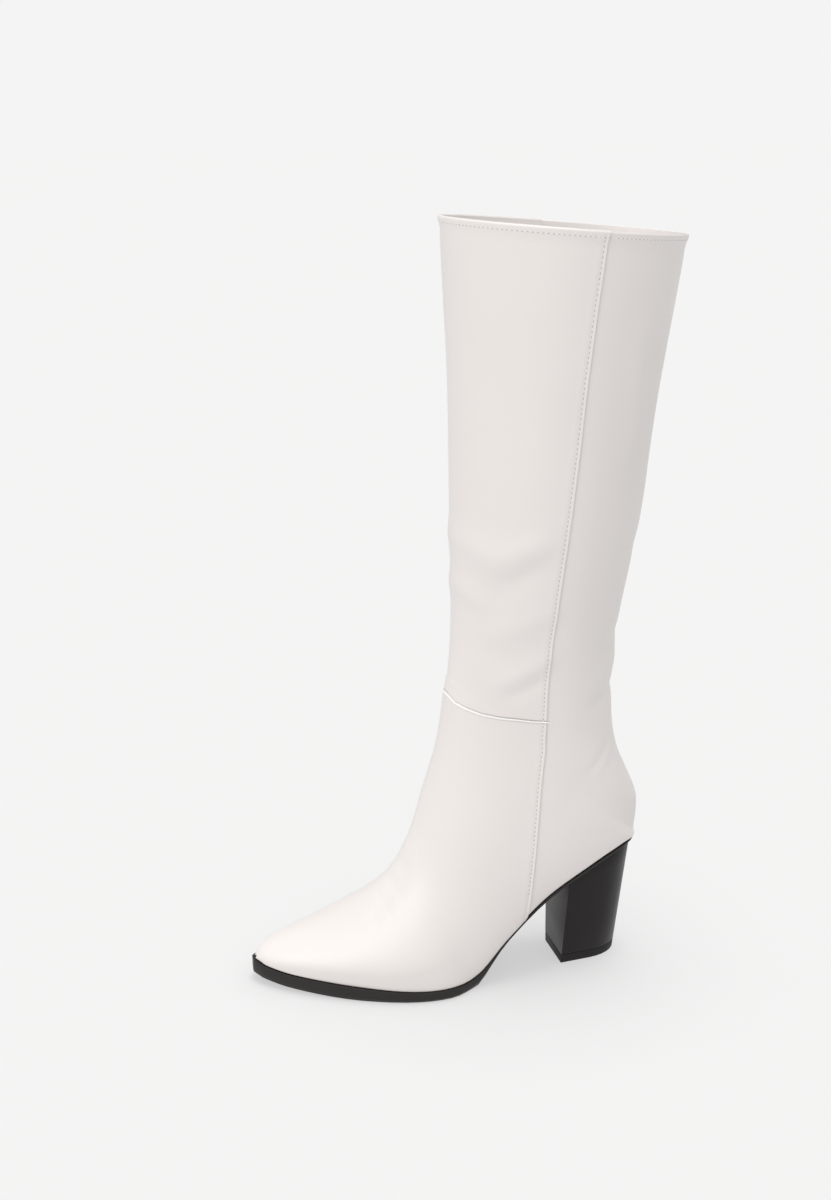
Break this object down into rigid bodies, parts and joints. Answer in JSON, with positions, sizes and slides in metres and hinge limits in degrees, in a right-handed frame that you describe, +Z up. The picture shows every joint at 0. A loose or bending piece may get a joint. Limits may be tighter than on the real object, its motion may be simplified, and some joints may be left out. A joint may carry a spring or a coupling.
{
  "type": "block heel boot",
  "caption": "Left mid-calf boot with a pointed toe, a plain off-white shaft, raised piping over the instep, an inner side zip and a black block heel",
  "frame": {"origin": "on the floor under the middle of the boot's bounding box", "axes": "+Z up, the toe points to -Y, the outer side of the foot is +X"},
  "size_m": [0.109, 0.2604, 0.4603],
  "materials": {
    "leather": "smooth off-white synthetic leather, soft sheen",
    "trim": "bright white, satin",
    "sole": "black, matt",
    "heel": "black, semi-gloss",
    "heel_tip": "black, matt",
    "sock": "off-white, matt",
    "tape": "woven off-white",
    "teeth": "off-white, satin",
    "slider": "white enamel"
  },
  "bodies": {
    "boot": {"upper": "leather", "ankle_piping": "trim", "outsole": "sole", "heel": "heel", "heel_tip": "heel_tip", "insole": "sock", "zip_tape_front": "tape", "zip_tape_back": "tape", "zip_teeth": "teeth", "zip_slider": "slider"},
    "zip_pull": {"zip_pull": "slider"}
  },
  "joints": [
    {"name": "pull_swing", "type": "hinge", "parent": "boot", "child": "zip_pull", "pos_m": [-0.03601, 0.04217, 0.19265], "axis": [-0.0486, 0.9982, -0.0344], "range_deg": [0, 150]}
  ]
}
